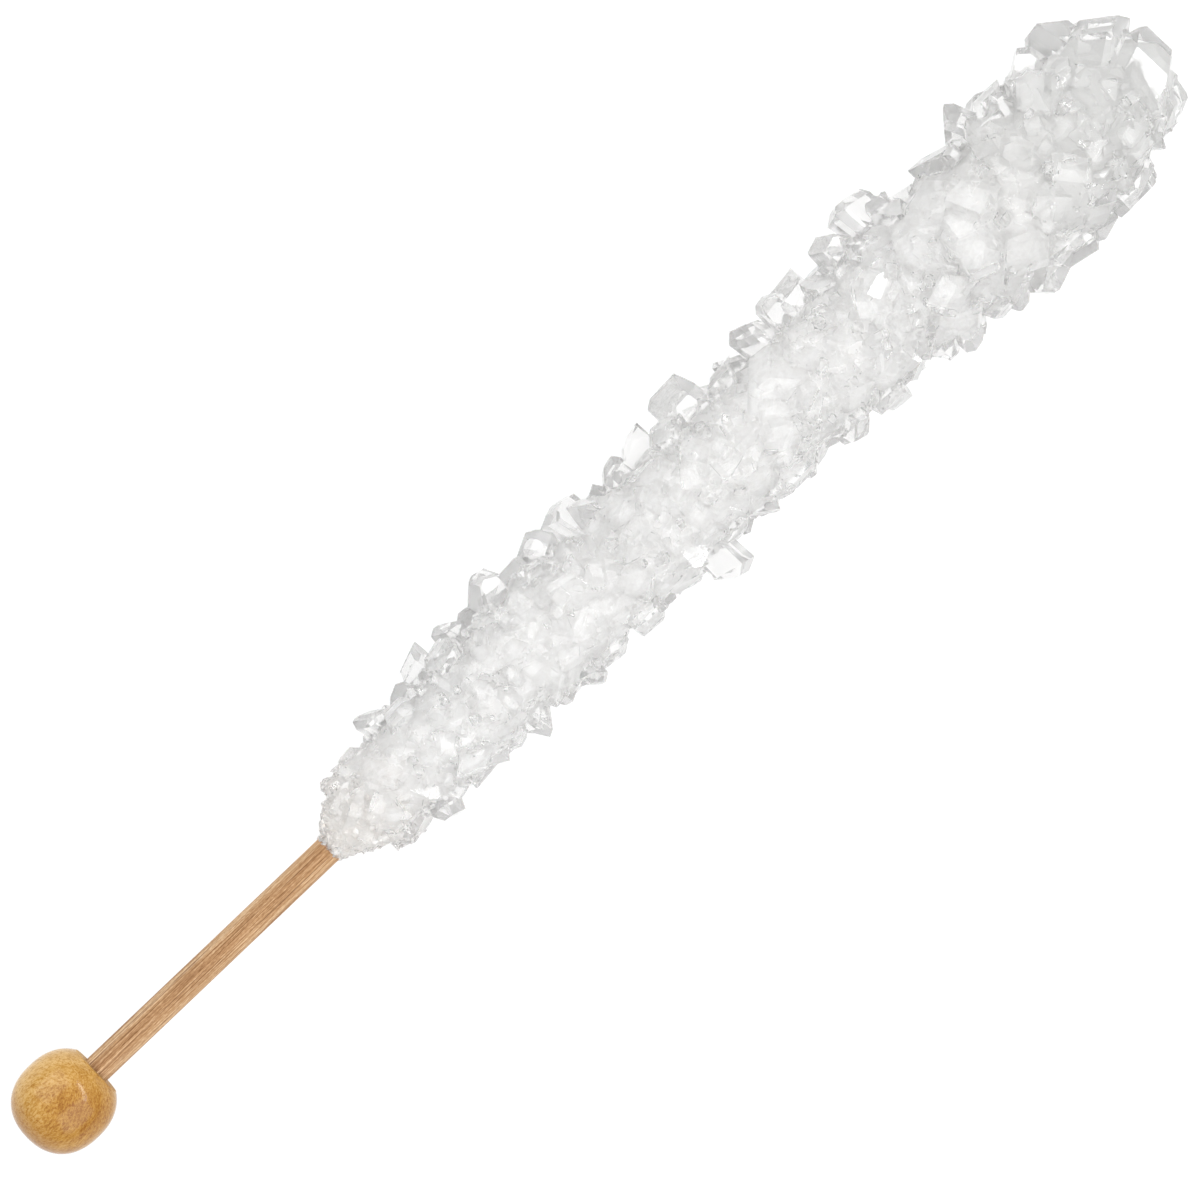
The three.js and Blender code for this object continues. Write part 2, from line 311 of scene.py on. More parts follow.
def closed_rings(rows, sides):
    """Triangles between rings of points, and to the two points after them that close the first and last
    ring."""
    here = np.arange(rows * sides).reshape(rows, sides)
    beside = np.roll(here, -1, axis=1)
    first_pole, last_pole = np.full(sides, rows * sides), np.full(sides, rows * sides + 1)
    triangles = [(here[:-1], beside[:-1], beside[1:]), (here[:-1], beside[1:], here[1:]),
                 (first_pole, beside[0], here[0]), (last_pole, here[-1], beside[-1])]
    return np.concatenate([np.stack(corners, axis=-1).reshape(-1, 3) for corners in triangles])


def turned(profile, sides):
    """A closed surface of revolution. Each (along, radius) point of the profile goes round the axis as a
    ring: the point at angle a is (along, radius cos a, radius sin a). The first and the last have radius
    0 and are poles."""
    along, radius = np.array(profile, float).T
    angle = np.linspace(0, 2 * np.pi, sides, endpoint=False)
    ring = np.stack(np.broadcast_arrays(along[1:-1, None], radius[1:-1, None] * np.cos(angle),
                                        radius[1:-1, None] * np.sin(angle)), axis=-1)
    poles = np.array([[along[0], 0, 0], [along[-1], 0, 0]])
    return lay(np.concatenate([ring.reshape(-1, 3), poles])), closed_rings(len(profile) - 2, sides)


stick_profile = [(STICK_FROM, 0.0), (STICK_FROM, STICK_RADIUS - CHAMFER)]
stick_profile += [(STICK_FROM + CHAMFER, STICK_RADIUS)]
stick_profile += [(along, STICK_RADIUS) for along in np.linspace(0, STICK_TO - 1, STICK_ROWS)]
stick_profile += [(STICK_TO - CHAMFER, STICK_RADIUS), (STICK_TO, STICK_RADIUS - CHAMFER), (STICK_TO, 0.0)]
make_piece("birch_stick", *turned(stick_profile, STICK_SIDES), stick_finish(), "stick_wood", "stick", True)

# %% [markdown]
# ## The wooden ball
#
# The ball is turned on a lathe from a golden wood and then varnished. Its grain runs aslant and shows as
# fine curls. A painted shade makes a darker patch in the middle of its top, another painted shade makes
# the far end darker and redder, and painted light makes the +Y side a little paler. The varnish is not a
# second layer here: a low roughness on the wood itself gives the same small bright highlight, which the
# bump of the curls breaks up. The flat face that the stick goes into was cut last and has no varnish, so
# it is matte.

# %% Finish of the ball
BALL_RADIUS = 5.6
BALL_FACE_RADIUS = 2.9
BALL_FACE_X = float(lay([BALL_FACE_ALONG, 0, BALL_FACE_RADIUS])[0])
BALL_FAR_END = float(lay([-BALL_RADIUS, 0, 0]) @ axis_along)
# Painted shade: the middle, seen from above, of a darker patch painted on top of the ball.
PAINTED_SHADE_PATCH = tuple(lay([0.6, -1.2, 0]) * (1, 1, 0))
GRAIN_TURN = (0.4, 0.3, 0.2)
# Painted shade: how far from the far end the darker, redder painted shade reaches, in millimetres.
FAR_SHADE_DEPTH = 3.0
BALL_TONES = [(0.35, paint(136, 85, 31)), (0.5, paint(176, 131, 61)), (0.65, paint(214, 178, 116))]


def ball_finish():
    """The tone is a weighted sum of the grain, the painted light on the +Y side and the distance from the
    painted shade on top, and it picks a colour. A painted shade darkens the far end. The roughness rises
    from varnish to bare wood over the last tenth of a millimetre before the face."""
    wood = Finish("ball_varnished_wood")
    curls = wood.noise((260, 420, 900), GRAIN_TURN, detail=3.0, roughness=0.6, distortion=1.2)
    fibres = wood.noise((1900, 3600, 6600), GRAIN_TURN, detail=3.0, roughness=0.75, distortion=0.6)
    clouds = wood.noise((110, 110, 110))
    # Painted light: the side towards +Y is made a little paler, as if lit more.
    painted_light_side = wood.place_on("Y").between(-BALL_RADIUS * MM, BALL_RADIUS * MM)
    # Painted shade: a darker patch round the middle of the top, measured as seen from above.
    seen_from_above = {0: wood.place((1, 1, 0)), 1: PAINTED_SHADE_PATCH}
    from_painted_shade_patch = wood.node("ShaderNodeVectorMath", {"operation": "DISTANCE"}, seen_from_above, "Value")
    tone = curls * 0.18 + clouds * 0.14 + fibres * 0.68 + (painted_light_side - 0.45) * 0.1
    tone = tone + (from_painted_shade_patch.between(1 * MM, 5 * MM) - 0.6) * 0.08
    grained = wood.mix(fibres.between(0.56, 0.68) * 0.36, wood.ramp(tone, BALL_TONES), paint(126, 76, 30))
    along = wood.place_on("X", STICK_TILT)
    # Painted shade: the far end of the ball is mixed towards a darker, redder colour.
    painted_far_shade = 1 - along.between(BALL_FAR_END, BALL_FAR_END + FAR_SHADE_DEPTH * MM)
    colour = wood.mix(painted_far_shade * 0.4, grained, paint(150, 92, 52))
    rough = wood.place_on("X").between(BALL_FACE_X - 0.1 * MM, BALL_FACE_X - 0.02 * MM) * 0.4 + 0.17
    normal = wood.bump(fibres * 0.3 + curls * 0.7, 0.1 * MM, 0.22)
    finish = {"Base Color": colour, "Roughness": rough, "Normal": normal, "Specular IOR Level": 0.3}
    return wood.close(finish)


# %% [markdown]
# A turned ball is never quite round: this one is a little squarer than a sphere. It is a curve turned
# about the axis, like the stick. What dips below the table is pressed flat, and the face is cut straight
# down, as the ball was drilled a little aslant.

# %% The ball
BALL_HALF_ALONG = 5.8
BALL_SQUARENESS = 2.3
BALL_EDGE = 0.12
BALL_RIM = ((-0.03, -0.05), (0, -0.2))
BALL_HOLE_RADIUS = STICK_RADIUS - 0.02
BALL_ROWS = 48
BALL_SIDES = 96


def ball_profile():
    """A superellipse turned about the axis: (along / half length) and (radius / radius), each to the
    power of the squareness, add up to 1. It stops at the flat face, whose rim is softened, and dips to
    the stick."""
    turn = np.linspace(0, np.arccos(-(BALL_FACE_ALONG - BALL_EDGE) / BALL_HALF_ALONG), BALL_ROWS)
    along = -np.cos(turn) * BALL_HALF_ALONG
    share = np.clip(1 - np.abs(along / BALL_HALF_ALONG) ** BALL_SQUARENESS, 0, 1)
    radius = BALL_RADIUS * share ** (1 / BALL_SQUARENESS)
    rim = [(BALL_FACE_ALONG + back, radius[-1] + inwards) for back, inwards in BALL_RIM]
    hole = [(BALL_FACE_ALONG, BALL_HOLE_RADIUS), (BALL_FACE_ALONG - 1, 0.0)]
    return list(zip(along, radius)) + rim + hole


points, faces = turned(ball_profile(), BALL_SIDES)
points[:, 2] = np.maximum(points[:, 2], 0)
points[:, 0] = np.minimum(points[:, 0], BALL_FACE_X)
make_piece("turned_ball", points, faces, ball_finish(), "ball_wood", "ball", True)

# %% [markdown]
# ## How far the candy reaches
#
# Grown candy is lumpy: thin near the bare stick, fat near the tip, and fuller on one side. A few stations
# along the stick hold how far it reaches to the +Y side and to the -Y side. Between two stations we go in
# a straight line, and round the stick the reach swings between its two sides as a cosine. A round profile
# would be simpler, but then the candy would look turned on a lathe.

# %% Outline of the candy
STATIONS = np.array([
    # along the stick, reach to +Y, reach to -Y, in millimetres
    (41.7, 1.9, 1.9), (43.2, 3.3, 2.5), (45.5, 4.9, 3.9), (48.5, 6.3, 5.8), (53, 7, 6.2),
    (62, 8.4, 6.6), (75, 9.2, 7.2), (90, 9.6, 7), (108, 9.6, 6.5), (124, 10.3, 7.6), (134, 11, 8.7),
    (141, 10, 9.9), (146, 11, 10.4), (158, 11.6, 9.8), (163, 10.6, 8.4), (166.5, 7.6, 5.4),
    (171.6, 3.2, 2.4),
])
CANDY_FROM, CANDY_TO = STATIONS[0, 0], STATIONS[-1, 0]


def reach_at(along, around):
    """Distance from the axis to the outline, where around is 0 at +Y and 90 degrees straight up: the mean
    of the two sides, plus half their difference times the cosine of around."""
    left = np.interp(along, STATIONS[:, 0], STATIONS[:, 1])
    right = np.interp(along, STATIONS[:, 0], STATIONS[:, 2])
    return (left + right) / 2 + (left - right) / 2 * np.cos(around)


print("the candy is", round(CANDY_TO - CANDY_FROM), "mm long and reaches", STATIONS[:, 1:].max(), "mm")

# %% [markdown]
# ## One sugar crystal
#
# Sugar grows as a slanted prism. Its section is a parallelogram with both sharp corners cut off, so it has
# six sides, and its outer end is bevelled and slopes. A cube pushed out of shape would come near it, but
# we keep the angles of the real faces. A corner of the section is where two neighbouring side faces cross,
# so every facet stays flat, and flat facets are what makes sugar flash.
#
# %% Section of a crystal
SIDES = 6
FACE_ANGLES = np.radians([0, 52, 103, 180, 232, 283])
FREE_FACES = [0, 2, 3, 5]
CUTTING_FACES = ((1, 0, 2), (4, 3, 5))


def crossing(angle_one, angle_two, distance_one, distance_two):
    """Where two lines cross. A line is all points whose share in the direction of its angle is its
    distance."""
    turn = np.sin(angle_two - angle_one)
    x = (distance_one * np.sin(angle_two) - distance_two * np.sin(angle_one)) / turn
    y = (distance_two * np.cos(angle_one) - distance_one * np.cos(angle_two)) / turn
    return np.stack([x, y], axis=-1)


def section_corners(half, cut):
    """Six corners of a section. half holds the distances of the four free faces from the middle. The
    other two faces cut the sharp corners between them, at the share of the corner's distance that cut
    holds. A corner is where a face crosses the next one."""
    distance = np.empty(half.shape[:-1] + (SIDES,))
    distance[..., FREE_FACES] = half
    for number, (face, before, after) in enumerate(CUTTING_FACES):
        angles = FACE_ANGLES[before], FACE_ANGLES[after]
        sharp = crossing(*angles, distance[..., before], distance[..., after])
        outward = np.array([np.cos(FACE_ANGLES[face]), np.sin(FACE_ANGLES[face])])
        distance[..., face] = cut[..., number] * (sharp @ outward)
    return crossing(FACE_ANGLES, np.roll(FACE_ANGLES, -1), distance, np.roll(distance, -1, axis=-1))


print("the side faces look towards", np.degrees(FACE_ANGLES).round().tolist(), "degrees")


def crystal_faces(rings):
    """Faces of one crystal as triangles: two for each side between two rings, and a fan over each end."""
    here = np.arange(SIDES * (rings - 1)).reshape(rings - 1, SIDES)
    beside = np.roll(here, -1, axis=1)
    sides = np.concatenate([np.stack([here, beside, beside + SIDES], axis=-1).reshape(-1, 3),
                            np.stack([here, beside + SIDES, here + SIDES], axis=-1).reshape(-1, 3)])
    second = np.arange(1, SIDES - 1)
    fan = np.stack([np.zeros_like(second), second, second + 1], axis=1)
    return np.concatenate([sides, fan[:, ::-1], fan + SIDES * (rings - 1)])


# %% [markdown]
# A crystal is three rings of such corners: the root, which is sunk into the candy, the shoulder and the
# end. Real ones have more small faces, but on a crystal of a few millimetres they don't show, and there
# are thousands to make. All of them are made at once: the first axis of each array is the crystal, the
# second is the ring and the third is the corner.

# %% Shape of many crystals
RINGS = 3
ROOT_SHARE = 0.85
THINNEST, THICKEST = (0.42, 0.34, 0.42, 0.34), (0.56, 0.48, 0.56, 0.48)


def crystal_shapes(rng, width, length):
    """Crystals along their own axis, ends at height 0. Their rings are the root, the shoulder and the
    end. The end is the section shrunk by other shares along and across, which makes a roof of large flat
    faces, and it stands a little aside. The shoulder and the end rise by a slope times the place, so the
    crystal ends aslant."""
    count = len(width)
    half = width[:, None] * rng.uniform(THINNEST, THICKEST, (count, 4))
    cut = rng.uniform(0.7, 0.97, (count, 2))
    root, shoulder = np.full(count, ROOT_SHARE), np.ones(count)
    share_long = np.stack([root, shoulder, rng.uniform(0.12, 0.92, count)], axis=1)
    share_short = np.stack([root, shoulder, rng.uniform(0.6, 0.96, count)], axis=1)
    shares = np.stack([share_long, share_short, share_long, share_short], axis=-1)
    corners = section_corners(half[:, None] * shares, np.broadcast_to(cut[:, None], (count, RINGS, 2)))
    aside = rng.uniform(-0.16, 0.16, (count, 1, 1, 2)) * width[:, None, None, None]
    corners = corners + aside * np.array([0, 0, 1])[:, None, None]
    bevel = width * rng.uniform(0.12, 0.45, count)
    height = np.stack([-length, -bevel, np.zeros(count)], axis=1)
    slope = rng.uniform(-0.5, 0.5, (count, 2))
    rise = (corners * slope[:, None, None]).sum(axis=-1) * np.array([0, 1, 1])[:, None]
    return np.concatenate([corners, (height[:, :, None] + rise)[..., None]], axis=-1)


print("a crystal has", len(crystal_faces(RINGS)), "triangles")

# %% [markdown]
# ## Standing crystals on the candy
#
# A crystal points outwards, leans along and round the stick, and is spun about itself. Then it is moved in
# or out until its farthest corner is exactly at its reach. So however a crystal leans, the candy keeps its
# outline, which it wouldn't if all of them stood on the same core.

# %% Place many crystals
LENGTHWAYS = np.array([1.0, 0, 0])


def unit(vectors):
    """Each vector divided by its own length."""
    return vectors / np.linalg.norm(vectors, axis=-1, keepdims=True)


def turn_up(shapes, up, flat):
    """Shapes turned so that their own third axis points up and their first one flat."""
    basis = np.stack([flat, np.cross(up, flat), up], axis=1)
    return np.einsum("nrci,nij->nrcj", shapes, basis)


def stand(shapes, along, around, reach, lean, side_lean, spin):
    """Shapes in place. Up is the outward direction plus the tangent of each lean times the direction it
    leans in. Spin turns a shape about up, and the move outwards is the reach less the farthest
    corner's."""
    zero = np.zeros_like(along)
    outward = np.stack([zero, np.cos(around), np.sin(around)], axis=1)
    sideways = np.stack([zero, -np.sin(around), np.cos(around)], axis=1)
    up = unit(outward + np.tan(lean)[:, None] * LENGTHWAYS + np.tan(side_lean)[:, None] * sideways)
    flat = unit(np.cross(sideways, up))
    spun_flat = np.cos(spin)[:, None] * flat + np.sin(spin)[:, None] * np.cross(up, flat)
    placed = turn_up(shapes, up, spun_flat)
    farthest = np.einsum("nrcj,nj->nrc", placed, outward).max(axis=(1, 2))
    move = LENGTHWAYS * along[:, None] + outward * (reach - farthest)[:, None]
    return placed + move[:, None, None]


def as_mesh(crystals):
    """Crystals, an array of (crystal, ring, corner, xyz) in millimetres, as points in metres and
    triangles. A crystal that would sink into the table is raised onto it."""
    points = lay(crystals)
    lowest = points[..., 2].min(axis=(1, 2))
    points[..., 2] += np.maximum(0, -lowest)[:, None, None]
    first_corners = SIDES * RINGS * np.arange(len(points))
    faces = crystal_faces(RINGS)[None] + first_corners[:, None, None]
    return points.reshape(-1, 3), faces.reshape(-1, 3)


# %% [markdown]
# ## The crystals that stand out
#
# Some large clear crystals stand out from the two long sides and at the tip, and the eye knows a rock
# candy by them. Chance doesn't put them in the right places, so they are listed, one row for each.

# %% Crystals that stand out
STANDOUTS = np.array([
    # along, around, reach, width, length, lean, spin: millimetres and degrees
    # along the +Y side
    (46.5, 20, 6.3, 2.4, 3, -20, 10), (54.8, 12, 8.6, 3.2, 3.6, -8, 40),
    (62.3, 8, 10.4, 4.2, 4.8, -10, 70), (65.8, 34, 9.8, 4.4, 4.4, 10, 20),
    (68, 4, 9.8, 3.8, 4.2, 4, 55), (73.6, 6, 11.1, 4.8, 5.2, -8, 15), (78, 22, 9.6, 4.2, 4.6, 6, 80),
    (81.8, 8, 10.4, 4.4, 4.6, 4, 120), (86, 10, 10.7, 4.6, 5, -12, 30),
    (89.2, 24, 10.6, 4.8, 4.6, 8, 60), (93.2, 8, 10.4, 3.6, 4, -4, 20), (97, 2, 10.9, 4.2, 4.8, -8, 5),
    (104.4, 8, 11.8, 5.6, 5.8, 4, 95), (101.4, 30, 10.4, 4.4, 4.8, 0, 40),
    (109.6, 16, 9.8, 4.2, 4.4, 8, 70), (115.6, 8, 11.2, 4.6, 4.8, -4, 50),
    (119.2, 16, 11.5, 3.6, 4.4, 6, 15), (121.6, 8, 11.4, 4.8, 5, -10, 75),
    (125, 26, 10.6, 4.2, 4.4, 14, 10), (128.8, 10, 11.8, 4.4, 4.8, 0, 110),
    (132.8, 10, 13.4, 5.2, 5.8, -6, 25), (136.4, 22, 11.8, 4.4, 4.8, 16, 60),
    (147.4, 8, 13.2, 4, 6.6, -26, 35), (152, 24, 12, 5.2, 5.4, 4, 70),
    (157.6, 14, 12.6, 5, 5.6, -16, 85), (162, 4, 12.5, 5.4, 6, -14, 45),
    # along the -Y side
    (54.2, 170, 7.4, 3.6, 3.8, 4, 35), (48.4, 168, 6.2, 2.6, 3, -12, 10),
    (69.4, 174, 8, 4, 4.6, 20, 55), (75.6, 166, 7.8, 3.6, 4, -8, 25),
    (84.6, 166, 7.2, 4.4, 4.4, -12, 80), (96.2, 172, 9.8, 4.4, 7.4, 2, 20),
    (102.8, 168, 7.4, 4.4, 5.6, -6, 65), (106.4, 160, 6.9, 3.4, 3.8, 14, 15),
    (117.2, 168, 8, 4.4, 5, 14, 35), (121.8, 174, 8.2, 4, 4.4, -10, 5),
    (133.6, 164, 9.4, 4.6, 5, 8, 60), (143.6, 176, 11, 4.4, 5, -6, 30),
    (152.6, 170, 10.2, 4.2, 4.6, 6, 85), (159, 172, 9.8, 5.2, 5.4, 12, 15),
    # on top and at the tip
    (101.4, 62, 8.4, 4.2, 4.6, -4, 25), (128, 70, 9.6, 4.4, 5, 6, 50),
    (150, 66, 10.8, 4.8, 5.6, -8, 20), (166.2, 28, 9.4, 8.4, 7.4, 38, 40),
    (163.5, 84, 10, 8.4, 7.2, 36, 70), (167.8, 150, 6.8, 7.2, 7, 44, 35),
    (170, 90, 5.4, 7.4, 7, 60, 15), (166.8, 214, 8, 6.6, 6.2, 46, 55),
    (167.8, 280, 8, 6.6, 6.2, 46, 20), (142, 96, 9.6, 4.6, 5.2, 4, 75), (115, 84, 8, 3.8, 4.4, -6, 5),
])


def standouts():
    """The crystals of the table, each with a small random lean round the stick."""
    along, around, reach, width, length, lean, spin = STANDOUTS.T
    rng = np.random.default_rng(41)
    shapes = crystal_shapes(rng, width, length)
    side_lean = rng.normal(0, 0.15, len(along))
    return stand(shapes, along, np.radians(around), reach, np.radians(lean), side_lean, np.radians(spin))


print(len(STANDOUTS), "crystals stand out, up to", STANDOUTS[:, 3].max(), "mm wide")


# %% [markdown]
# ## All the other crystals
#
# Their places come from the golden angle: each crystal turns by 137.5 degrees from the last, which spreads
# them evenly without lining them up, where pure chance would leave bare patches. They get larger towards
# the tip, as on a real stick, which hangs in the syrup tip down.

# %% Scatter crystals
GOLDEN_ANGLE = np.radians(137.508)
STEEPEST_LEAN, STEEPEST_SIDE_LEAN = 1.35, 1.2


def clear_of(along, around, others, room):
    """True where a place is farther than room from all the others, measured over the candy's outline."""
    step_along = along[:, None] - others[:, 0]
    turn = around[:, None] - np.radians(others[:, 1])
    step_around = np.arctan2(np.sin(turn), np.cos(turn)) * others[:, 2]
    return np.hypot(step_along, step_around).min(axis=1) > room


def scatter(seed, count, start, end, widths, reaches, tumble, lengths=(0.9, 1.5), room=0.0, chances=(1, 1)):
    """Crystals from start to end along the stick. widths are the usual width at the start and at the end,
    reaches the least and the most share of the outline, tumble the spread of their leans in radians,
    lengths the least and the most length for a width, room what they leave free round each crystal that
    stands out, and chances how likely one is at the sides and on top. A crystal leans back where the
    outline widens."""
    rng = np.random.default_rng(seed)
    share = (np.arange(count) + rng.uniform(0, 1, count)) / count
    along = start + (end - start) * share
    around = np.arange(count) * GOLDEN_ANGLE + rng.uniform(-0.3, 0.3, count)
    width = (widths[0] + (widths[1] - widths[0]) * share) * np.exp(rng.normal(0, 0.2, count))
    rise = (reach_at(along + 1, around) - reach_at(along - 1, around)) / 2
    lean = np.clip(rng.normal(0, tumble, count) - np.arctan(rise), -STEEPEST_LEAN, STEEPEST_LEAN)
    side_lean = np.clip(rng.normal(0, 0.8 * tumble, count), -STEEPEST_SIDE_LEAN, STEEPEST_SIDE_LEAN)
    shapes = crystal_shapes(rng, width, width * rng.uniform(*lengths, count))
    reach = reach_at(along, around) * rng.uniform(*reaches, count)
    crystals = stand(shapes, along, around, reach, lean, side_lean, rng.uniform(0, 2 * np.pi, count))
    chance = chances[1] + (chances[0] - chances[1]) * np.abs(np.cos(around))
    kept = (rng.uniform(0, 1, count) < chance) & clear_of(along, around, STANDOUTS, room)
    print(f"{kept.sum()} of {count} crystals kept from {start} to {end} mm")
    return crystals[kept]


# %% [markdown]
# Sugar also settles on sugar: towards the tip the large crystals carry small ones on their own faces,
# which is what glitters there. So a last kind is sown onto the crystals that are already there.

# %% Sow small crystals on large ones
SEED_LEAN, SEED_RISE = 0.35, 0.35
SEED_DEPTH, SEED_SIDEMOST = 0.86, 0.75


def sown(seed, count, start, parents, widths):
    """Small crystals on the faces of larger ones, the parents, from start along the stick. A place is a
    random mix of the four corners of a face between two rings. A crystal points along the face's normal,
    leans a little and is sunk into the face. Those deep in the candy and those at its two sides are left
    out."""
    rng = np.random.default_rng(seed)
    parent = rng.integers(0, len(parents), count)
    ring, corner = rng.integers(0, RINGS - 1, count), rng.integers(0, SIDES, count)
    near, beside = parents[parent, ring, corner], parents[parent, ring, (corner + 1) % SIDES]
    above, across = parents[parent, ring + 1, corner], parents[parent, ring + 1, (corner + 1) % SIDES]
    side, rise = rng.uniform(0.1, 0.9, (2, count, 1))
    place = (1 - rise) * ((1 - side) * near + side * beside) + rise * ((1 - side) * above + side * across)
    up = unit(unit(np.cross(beside - near, above - near)) + rng.normal(0, SEED_LEAN, (count, 3)))
    flat = unit(np.cross(rng.normal(0, 1, (count, 3)), up))
    width = rng.uniform(*widths, count)
    shapes = crystal_shapes(rng, width, width * rng.uniform(1.0, 1.4, count))
    crystals = turn_up(shapes, up, flat) + (place + SEED_RISE * width[:, None] * up)[:, None, None]
    around = np.arctan2(place[:, 2], place[:, 1])
    share = np.hypot(place[:, 1], place[:, 2]) / reach_at(place[:, 0], around)
    outside = (share > SEED_DEPTH) & (np.abs(np.cos(around)) < SEED_SIDEMOST)
    return crystals[outside & (place[:, 0] > start)]


# %% [markdown]
# ## Growing together
#
# Real crystals share the sugar where they meet, so light crosses no surface between them. Left as loose
# pieces pushed through each other they would turn dark, because light is bent and thrown back again at
# each hidden face. So they are fused: a Mesh Boolean joins every crystal and the mass beneath them into
# one skin. We could join them two by two with modifiers, but one Geometry Nodes tree does it at once. It
# splits the mesh into its islands, one for each crystal, and joins them all.
#
# A few crystals hang free of the rest, and a few hollows are shut inside. Both are islands of their own,
# so only the largest island is kept.

# %% Fuse crystals
def mesh_arrays(mesh):
    """The points and triangles of a mesh as arrays."""
    mesh.calc_loop_triangles()
    points = np.empty(3 * len(mesh.vertices))
    mesh.vertices.foreach_get("co", points)
    faces = np.empty(3 * len(mesh.loop_triangles), dtype=np.int32)
    mesh.loop_triangles.foreach_get("vertices", faces)
    return points.reshape(-1, 3), faces.reshape(-1, 3)


def fusing_tree(name):
    """A Geometry Nodes tree that makes one skin of all the islands of a mesh."""
    tree = bpy.data.node_groups.new(name, "GeometryNodeTree")
    for direction in ("INPUT", "OUTPUT"):
        tree.interface.new_socket("Geometry", in_out=direction, socket_type="NodeSocketGeometry")
    bench = Bench(tree)
    loose = bench.node("NodeGroupInput")
    island = bench.node("GeometryNodeInputMeshIsland", output="Island Index")
    inputs = {"Geometry": loose, "Group ID": island}
    bodies = bench.node("GeometryNodeSplitToInstances", {"domain": "FACE"}, inputs)
    settings = {"operation": "UNION", "solver": "MANIFOLD"}
    joined = bench.node("GeometryNodeMeshBoolean", settings, {"Mesh 2": bodies})
    bench.node("NodeGroupOutput", None, {"Geometry": joined})
    return tree


def largest_island(points, faces):
    """The island with the most triangles. Each point takes the lowest number in its triangles, and then
    the number that the point of that number has, until nothing changes: then all points of an island have
    one number."""
    number, before = np.arange(len(points)), None
    while before is None or (number != before).any():
        before = number
        number = before.copy()
        np.minimum.at(number, faces.ravel(), np.repeat(before[faces].min(axis=1), 3))
        number = number[number]
    island = number[faces[:, 0]]
    largest = np.bincount(island).argmax()
    kept = number == largest
    print("islands left out:", len(np.unique(island)) - 1)
    return points[kept], (np.cumsum(kept) - 1)[faces[island == largest]]


def fuse(name, points, faces):
    """The outer skin of many closed bodies, as points and triangles."""
    mesh = bpy.data.meshes.new(name)
    mesh.from_pydata(points, [], faces)
    loose = bpy.data.objects.new(name, mesh)
    bpy.context.scene.collection.objects.link(loose)
    tree = fusing_tree(name)
    loose.modifiers.new(name, "NODES").node_group = tree
    depsgraph = bpy.context.evaluated_depsgraph_get()
    fused = bpy.data.meshes.new_from_object(loose.evaluated_get(depsgraph), depsgraph=depsgraph)
    bpy.data.objects.remove(loose)
    bpy.data.node_groups.remove(tree)
    return largest_island(*mesh_arrays(fused))


def together(*meshes):
    """Several (points, triangles) as one: each one's triangles are counted on from the points before
    them."""
    counts = np.cumsum([0] + [len(points) for points, faces in meshes[:-1]])
    return (np.concatenate([points for points, faces in meshes]),
            np.concatenate([faces + shift for (points, faces), shift in zip(meshes, counts)]))


# %% [markdown]
# ## The mass beneath
#
# Under the crystals the sugar is one mass round the stick: rings at a share of the candy's reach, each
# point moved in or out a little. It is used twice: as the clear mass that the crystals grow out of, and a
# little smaller, as the milky heart inside it. The heart comes closest to the surface near the bare wood,
# where the sugar is white right to the outside, and it stays farther away at the sides, where the candy is
# clear.

# %% Mass round the stick
CRUST_LENGTH = 9.0
TIP_LENGTH = 22.0
TIP_ROUND = 7.0
MOST_ROUND = 0.94
TIP_POINT = 0.5
LEAST_SUGAR = 0.12


def mass(seed, shares, start, end, roughness, rows=60, sides=20):
    """Rings round the axis, closed to a point at both ends, as points in metres and triangles. A radius
    is a share of the reach, times a random number within the roughness of 1. shares are at the start, at
    the sides, on top and at the end. Between the sides and the top the share goes with the squared cosine
    of the angle, and it changes evenly over CRUST_LENGTH after the start and over TIP_LENGTH before the
    end. Over TIP_ROUND before the end the rings get smaller like those of an ellipsoid."""
    start_share, side_share, top_share, tip_share = shares
    rng = np.random.default_rng(seed)
    turns = np.linspace(0, 2 * np.pi, sides, endpoint=False)
    along, around = np.meshgrid(np.linspace(start, end, rows), turns, indexing="ij")
    around = around + (np.arange(rows)[:, None] % 2) * np.pi / sides
    grown = np.clip((along - start) / CRUST_LENGTH, 0, 1)
    share = top_share + (side_share - top_share) * np.cos(around) ** 2
    share = start_share + grown * (share - start_share)
    share = tip_share + np.clip((end - along) / TIP_LENGTH, 0, 1) * (share - tip_share)
    share = share * np.sqrt(1 - np.clip((along - end) / TIP_ROUND + 1, 0, MOST_ROUND) ** 2)
    radius = share * reach_at(along, around) * rng.uniform(1 - roughness, 1 + roughness, along.shape)
    radius = np.maximum(radius, STICK_RADIUS + LEAST_SUGAR)
    ring = np.stack([along, radius * np.cos(around), radius * np.sin(around)], axis=-1)
    poles = [[start, 0, 0], [end + TIP_POINT, 0, 0]]
    return lay(np.concatenate([ring.reshape(-1, 3), poles])), closed_rings(rows, sides)


# %% [markdown]
# ## Two finishes of one sugar
#
# Clear sugar bends light more than water and about as much as glass. It is clear in the outer crystals,
# with smooth faces, and frosty near the stick, where the crystals are small and grew into each other. How
# clear it is comes with each point of the mesh, as a number from 0 to 1. The number could also be painted
# by hand, but the distance from the stick already says it.

# %% Finish of the clear sugar
SUGAR_IOR = 1.54
FROSTY_COLOUR, CLEAR_COLOUR = (0.994, 0.991, 0.988, 1), (0.962, 0.96, 0.957, 1)


